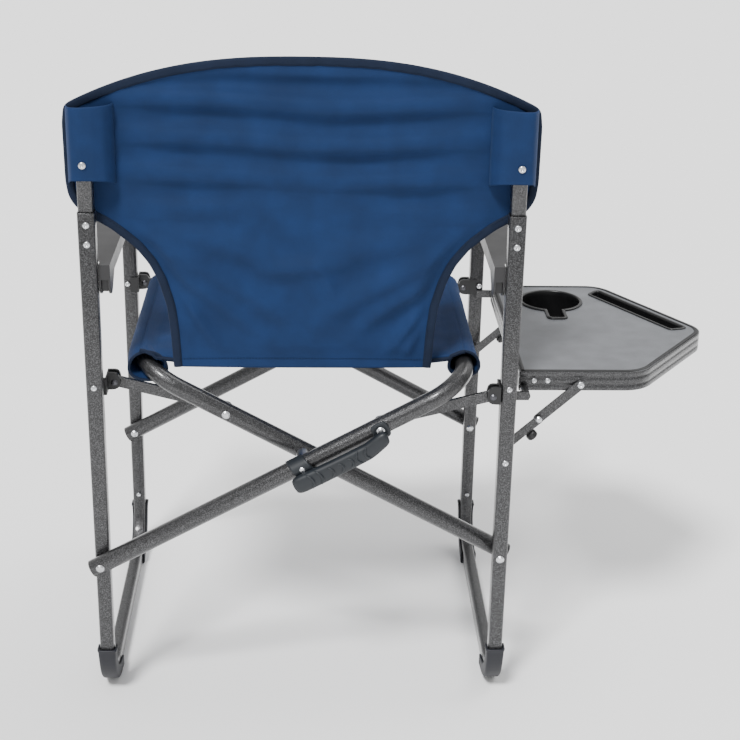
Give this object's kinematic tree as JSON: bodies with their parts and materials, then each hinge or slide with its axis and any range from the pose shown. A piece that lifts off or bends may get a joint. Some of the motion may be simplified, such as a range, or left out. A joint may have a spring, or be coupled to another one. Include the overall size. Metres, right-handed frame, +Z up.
{
  "type": "folding camp chair",
  "caption": "Folding camp chair with bent-tube side frames, crossed seat tubes, fabric seat and back, padded arms and a fold-down side table with a cup holder.",
  "frame": {"origin": "middle of the bottom of the bounding box, on the floor", "axes": "+Z up, +Y the way the sitter faces, +X towards the side table"},
  "size_m": [0.8968, 0.5568, 0.929],
  "materials": {
    "hammered_steel": "dark grey hammered paint",
    "zinc_steel": "zinc plated rivets",
    "arm_plastic": "dark grey moulded plastic",
    "black_plastic": "black moulded plastic",
    "grip_plastic": "slate plastic",
    "foot_rubber": "dark moulded rubber",
    "blue_fabric": "blue woven polyester",
    "grey_board": "grey laminate board"
  },
  "bodies": {
    "left_frame": {"side_frame_left": "hammered_steel", "back_post_left": "hammered_steel", "foot_pad_rear_left": "foot_rubber", "foot_pad_front_left": "foot_rubber", "armrest_left": "arm_plastic", "armrest_clip_left": "black_plastic", "link_bracket_rear_left": "black_plastic", "link_bracket_front_left": "black_plastic", "low_pin_rear_left": "zinc_steel", "low_pin_front_left": "zinc_steel", "link_pin_rear_left": "zinc_steel", "link_pin_front_left": "zinc_steel"},
    "scissor_a": {"scissor_tube_a": "hammered_steel", "carry_handle": "grip_plastic", "seat_sleeve_right": "blue_fabric", "cross_pin_rear": "zinc_steel", "cross_pin_front": "zinc_steel", "tube_pin_rear_right": "zinc_steel", "tube_pin_front_right": "zinc_steel"},
    "scissor_b": {"scissor_tube_b": "hammered_steel", "seat_sleeve_left": "blue_fabric", "tube_pin_rear_left": "zinc_steel", "tube_pin_front_left": "zinc_steel"},
    "right_frame": {"side_frame_right": "hammered_steel", "back_post_right": "hammered_steel", "foot_pad_rear_right": "foot_rubber", "foot_pad_front_right": "foot_rubber", "armrest_right": "arm_plastic", "armrest_clip_right": "black_plastic", "link_bracket_rear_right": "black_plastic", "link_bracket_front_right": "black_plastic", "low_pin_rear_right": "zinc_steel", "low_pin_front_right": "zinc_steel", "link_pin_rear_right": "zinc_steel", "link_pin_front_right": "zinc_steel", "table_hinge_rear": "black_plastic", "table_hinge_front": "black_plastic"},
    "link_rear_left": {"link_rear_left": "hammered_steel"},
    "link_front_left": {"link_front_left": "hammered_steel"},
    "link_rear_right": {"link_rear_right": "hammered_steel"},
    "link_front_right": {"link_front_right": "hammered_steel"},
    "seat_right": {"seat_panel_right": "blue_fabric"},
    "seat_left": {"seat_panel_left": "blue_fabric"},
    "back_left": {"back_panel_left": "blue_fabric"},
    "back_right": {"back_panel_right": "blue_fabric"},
    "table": {"table_top": "grey_board", "table_rim": "hammered_steel", "cup_holder": "black_plastic", "phone_slot": "black_plastic"},
    "strut_lower_rear": {"strut_lower_rear": "hammered_steel", "elbow_pin_rear": "zinc_steel"},
    "strut_lower_front": {"strut_lower_front": "hammered_steel", "elbow_pin_front": "zinc_steel"},
    "strut_upper_rear": {"strut_upper_rear": "hammered_steel"},
    "strut_upper_front": {"strut_upper_front": "hammered_steel"},
    "knob_rear": {"lock_knob_rear": "black_plastic"},
    "knob_front": {"lock_knob_front": "black_plastic"}
  },
  "joints": [
    {"name": "fold", "type": "hinge", "parent": "left_frame", "child": "scissor_a", "pos_m": [-0.42241, -0.2211, 0.225], "axis": [0, -1, 0], "range_deg": [0, 35]},
    {"name": "cross", "type": "hinge", "parent": "scissor_a", "child": "scissor_b", "pos_m": [-0.14241, -0.2211, 0.37894], "axis": [0, -1, 0], "range_deg": [-70.01, 0]},
    {"name": "right_low", "type": "hinge", "parent": "scissor_b", "child": "right_frame", "pos_m": [0.13759, -0.2211, 0.225], "axis": [0, -1, 0], "range_deg": [0, 35.01]},
    {"name": "link_rear_left_pivot", "type": "hinge", "parent": "left_frame", "child": "link_rear_left", "pos_m": [-0.40041, -0.2211, 0.47606], "axis": [0, -1, 0], "range_deg": [0, 79.68]},
    {"name": "link_rear_right_pivot", "type": "hinge", "parent": "right_frame", "child": "link_rear_right", "pos_m": [0.11559, -0.2211, 0.47606], "axis": [0, -1, 0], "range_deg": [-79.68, 0]},
    {"name": "link_front_left_pivot", "type": "hinge", "parent": "left_frame", "child": "link_front_left", "pos_m": [-0.40041, 0.2389, 0.47606], "axis": [0, -1, 0], "range_deg": [0, 79.68]},
    {"name": "link_front_right_pivot", "type": "hinge", "parent": "right_frame", "child": "link_front_right", "pos_m": [0.11559, 0.2389, 0.47606], "axis": [0, -1, 0], "range_deg": [-79.68, 0]},
    {"name": "seat_right_fold", "type": "hinge", "parent": "scissor_a", "child": "seat_right", "pos_m": [0.07959, 0.0089, 0.501], "axis": [0, -1, 0], "range_deg": [0, 28.97], "deforming": ["seat_panel_right"]},
    {"name": "seat_crease", "type": "hinge", "parent": "seat_right", "child": "seat_left", "pos_m": [-0.14241, 0.0089, 0.517], "axis": [0, -1, 0], "range_deg": [-127.92, 0], "deforming": ["seat_panel_left"]},
    {"name": "back_left_fold", "type": "hinge", "parent": "left_frame", "child": "back_left", "pos_m": [-0.42241, -0.2211, 0.8], "axis": [0, 0, -1], "range_deg": [0, 64.82], "deforming": ["back_panel_left"]},
    {"name": "back_crease", "type": "hinge", "parent": "back_left", "child": "back_right", "pos_m": [-0.14241, -0.1969, 0.8], "axis": [0, 0, -1], "range_deg": [-129.63, 0], "deforming": ["back_panel_right"]},
    {"name": "table_fold", "type": "hinge", "parent": "right_frame", "child": "table", "pos_m": [0.16459, 0.0089, 0.466], "axis": [0, 1, 0], "range_deg": [0, 90]},
    {"name": "strut_foot_rear", "type": "hinge", "parent": "right_frame", "child": "strut_lower_rear", "pos_m": [0.13759, -0.2211, 0.375], "axis": [0, 1, 0], "range_deg": [0, 112.56]},
    {"name": "strut_elbow_rear", "type": "hinge", "parent": "strut_lower_rear", "child": "strut_upper_rear", "pos_m": [0.18741, -0.2211, 0.42059], "axis": [0, 1, 0], "range_deg": [-152.55, 0]},
    {"name": "lock_knob_rear_turn", "type": "hinge", "parent": "strut_lower_rear", "child": "knob_rear", "pos_m": [0.17118, -0.1846, 0.40574], "axis": [0.6751, 0, -0.7377], "continuous": true},
    {"name": "strut_foot_front", "type": "hinge", "parent": "right_frame", "child": "strut_lower_front", "pos_m": [0.13759, 0.2389, 0.375], "axis": [0, 1, 0], "range_deg": [0, 112.56]},
    {"name": "strut_elbow_front", "type": "hinge", "parent": "strut_lower_front", "child": "strut_upper_front", "pos_m": [0.18741, 0.2389, 0.42059], "axis": [0, 1, 0], "range_deg": [-152.55, 0]},
    {"name": "lock_knob_front_turn", "type": "hinge", "parent": "strut_lower_front", "child": "knob_front", "pos_m": [0.17118, 0.2024, 0.40574], "axis": [0.6751, 0, -0.7377], "continuous": true}
  ],
  "couplings": [
    {"joint": "cross", "follows": "fold", "ratio": -2},
    {"joint": "right_low", "follows": "fold", "ratio": 1},
    {"joint": "link_rear_left_pivot", "follows": "fold", "ratio": 2.2762},
    {"joint": "link_rear_right_pivot", "follows": "fold", "ratio": -2.2762},
    {"joint": "link_front_left_pivot", "follows": "fold", "ratio": 2.2762},
    {"joint": "link_front_right_pivot", "follows": "fold", "ratio": -2.2762},
    {"joint": "seat_right_fold", "follows": "fold", "ratio": 0.82734},
    {"joint": "seat_crease", "follows": "fold", "ratio": -3.6547},
    {"joint": "back_left_fold", "follows": "fold", "ratio": 1.8518},
    {"joint": "back_crease", "follows": "fold", "ratio": -3.7035},
    {"joint": "strut_foot_rear", "follows": "table_fold", "ratio": 1.2505},
    {"joint": "strut_elbow_rear", "follows": "table_fold", "ratio": -1.6949},
    {"joint": "strut_foot_front", "follows": "table_fold", "ratio": 1.2505},
    {"joint": "strut_elbow_front", "follows": "table_fold", "ratio": -1.6949}
  ]
}
